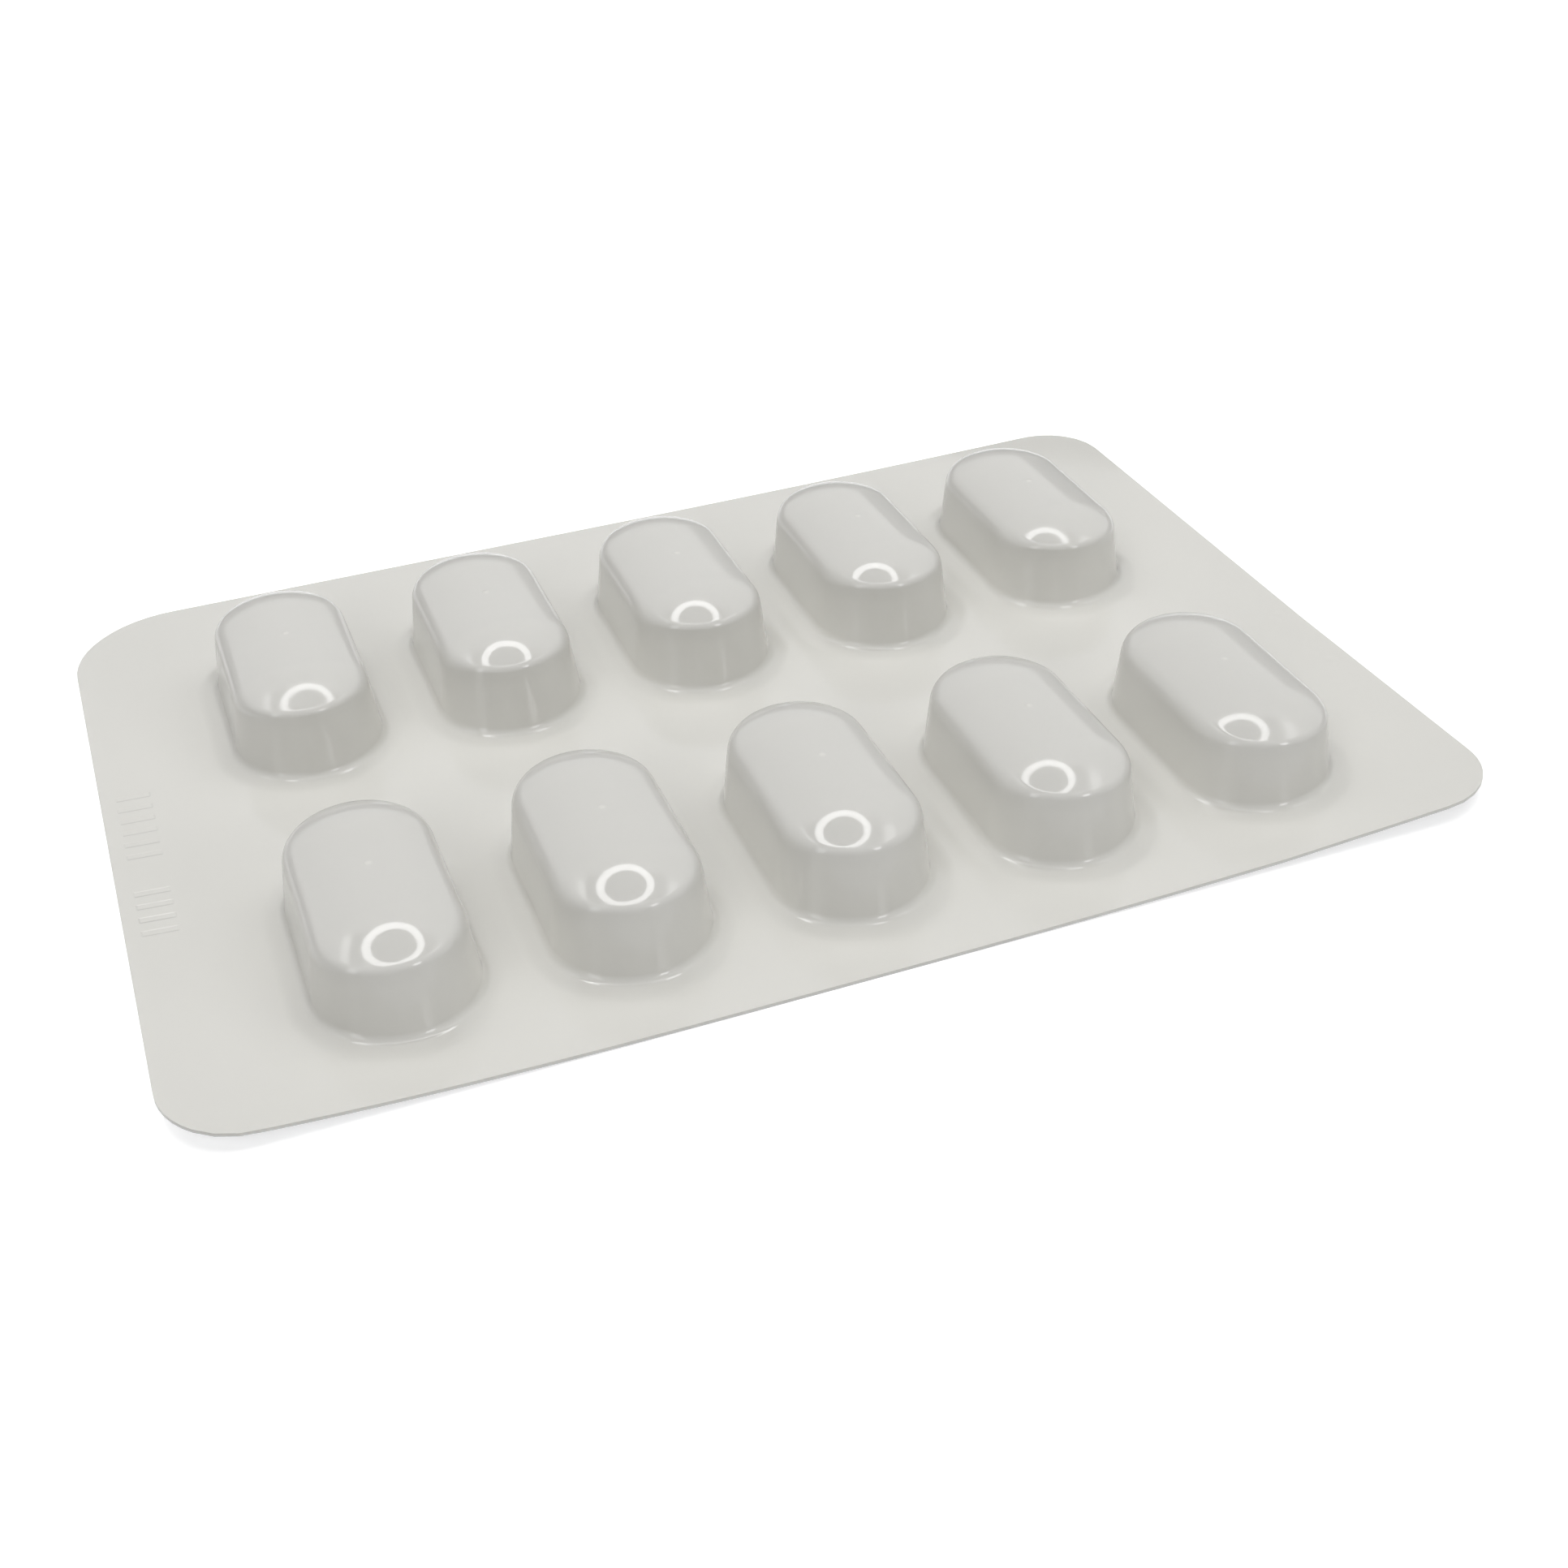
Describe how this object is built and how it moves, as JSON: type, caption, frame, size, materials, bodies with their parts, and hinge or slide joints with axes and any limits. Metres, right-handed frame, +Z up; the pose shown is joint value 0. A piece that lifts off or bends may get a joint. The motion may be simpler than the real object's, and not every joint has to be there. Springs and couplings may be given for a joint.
{
  "type": "blister pack",
  "caption": "Flat card with rounded corners and rows of oblong raised pockets, each sealed over one tablet; opaque ivory film on top, foil lidding beneath.",
  "frame": {"origin": "middle of the flat underside", "axes": "+X along the card's long side, +Y along the pockets towards the wide rear margin, +Z up through the pocket crowns"},
  "size_m": [0.1, 0.0722, 0.008],
  "materials": {
    "film": "glossy opaque ivory forming film, softly mottled, with crisp reflections on the pocket crowns"
  },
  "bodies": {
    "root": {"blister_pack": "film"}
  },
  "joints": []
}
